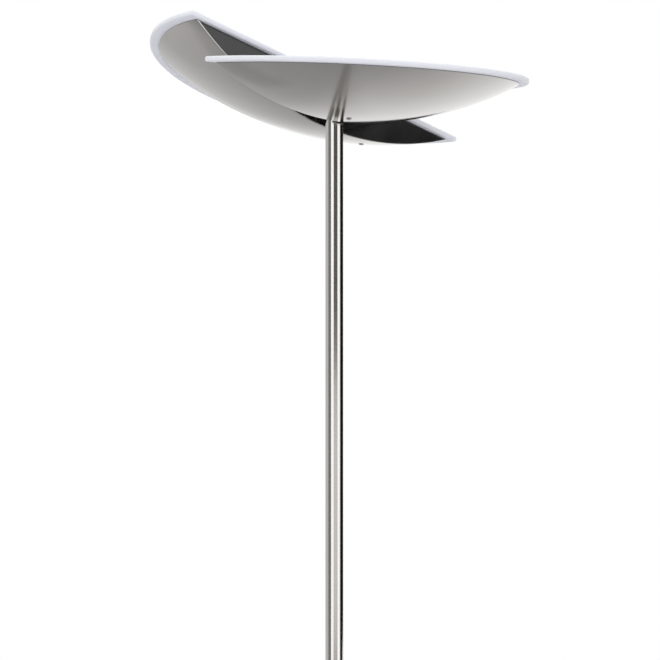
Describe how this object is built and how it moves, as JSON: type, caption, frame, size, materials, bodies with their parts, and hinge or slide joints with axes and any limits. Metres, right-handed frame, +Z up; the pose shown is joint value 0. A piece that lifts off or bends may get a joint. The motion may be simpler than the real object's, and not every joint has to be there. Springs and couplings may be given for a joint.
{
  "type": "floor uplighter",
  "caption": "Floor uplighter: round weighted base, slim pole, and a head of two half bowls under half-round diffuser plates, each tilting on its own short axle.",
  "frame": {"origin": "on the floor at the centre of the round base, under the pole's axis", "axes": "+Z up along the pole, Y along the tilt axles with the front half on the -Y side, X along the straight edges of the plates"},
  "size_m": [0.45, 0.4898, 1.8643],
  "materials": {
    "satin_nickel": "satin nickel-plated sheet, soft mirror",
    "pole_steel": "stainless tube, ground lengthways and polished",
    "plain_steel": "zinc-plated steel",
    "brass_thread": "nickel-plated brass, dull",
    "wall_black": "matt black paint",
    "opal_acrylic": "satin opal acrylic, cool white",
    "seal_rubber": "soft dark silicone",
    "pad_rubber": "closed-cell rubber",
    "weight_iron": "rough cast, black",
    "tray_aluminium": "bare sheet",
    "white_plastic": "white",
    "washer_plastic": "natural nylon",
    "led_yellow": "phosphor-covered chips",
    "board_green": "circuit board"
  },
  "bodies": {
    "stand": {"floor_pad": "pad_rubber", "base_weight": "weight_iron", "base_cover": "satin_nickel", "cord_bush": "pad_rubber", "led_driver": "white_plastic", "button_switch": "board_green", "button_bezel": "satin_nickel", "button_spring": "plain_steel", "switch_lead": "white_plastic", "base_bolt": "plain_steel", "bolt_washer": "plain_steel", "pole_plug": "plain_steel", "pole_collar": "satin_nickel", "lower_pole": "pole_steel", "pole_coupler": "plain_steel", "upper_pole": "pole_steel", "hinge_block": "satin_nickel", "block_screw": "plain_steel", "pole_cable": "white_plastic", "front_axle": "brass_thread", "rear_axle": "brass_thread", "front_washers": "washer_plastic", "rear_washers": "washer_plastic", "front_stop_arm": "plain_steel", "rear_stop_arm": "plain_steel", "spring_washers": "plain_steel", "axle_nuts": "brass_thread"},
    "front_head": {"front_bowl": "satin_nickel", "front_wall": "wall_black", "front_seal": "seal_rubber", "front_plate": "opal_acrylic", "front_hub": "tray_aluminium", "front_tray": "tray_aluminium", "front_board": "tray_aluminium", "front_leds": "led_yellow", "front_posts": "white_plastic", "front_lead": "white_plastic", "front_terminal": "white_plastic", "front_bowl_screws": "satin_nickel", "front_wall_screws": "wall_black", "front_tray_screws": "plain_steel"},
    "rear_head": {"rear_bowl": "satin_nickel", "rear_wall": "wall_black", "rear_seal": "seal_rubber", "rear_plate": "opal_acrylic", "rear_hub": "tray_aluminium", "rear_tray": "tray_aluminium", "rear_board": "tray_aluminium", "rear_leds": "led_yellow", "rear_posts": "white_plastic", "rear_lead": "white_plastic", "rear_terminal": "white_plastic", "rear_bowl_screws": "satin_nickel", "rear_wall_screws": "wall_black", "rear_tray_screws": "plain_steel"},
    "button": {"foot_button": "satin_nickel"}
  },
  "joints": [
    {"name": "front_tilt_hinge", "type": "hinge", "parent": "stand", "child": "front_head", "pos_m": [0, 0, 1.77], "axis": [0, 0.9992, 0.0401], "range_deg": [-31.3, 28.7]},
    {"name": "rear_tilt_hinge", "type": "hinge", "parent": "stand", "child": "rear_head", "pos_m": [0, 0, 1.77], "axis": [0, 0.9992, -0.0401], "range_deg": [-47.2, 12.8]},
    {"name": "button_press", "type": "slide", "parent": "stand", "child": "button", "axis": [0, 0, -1], "range_m": [0, 0.003], "stiffness_N_per_m": 800, "springref_m": -0.004, "deforming": ["button_spring"]}
  ]
}
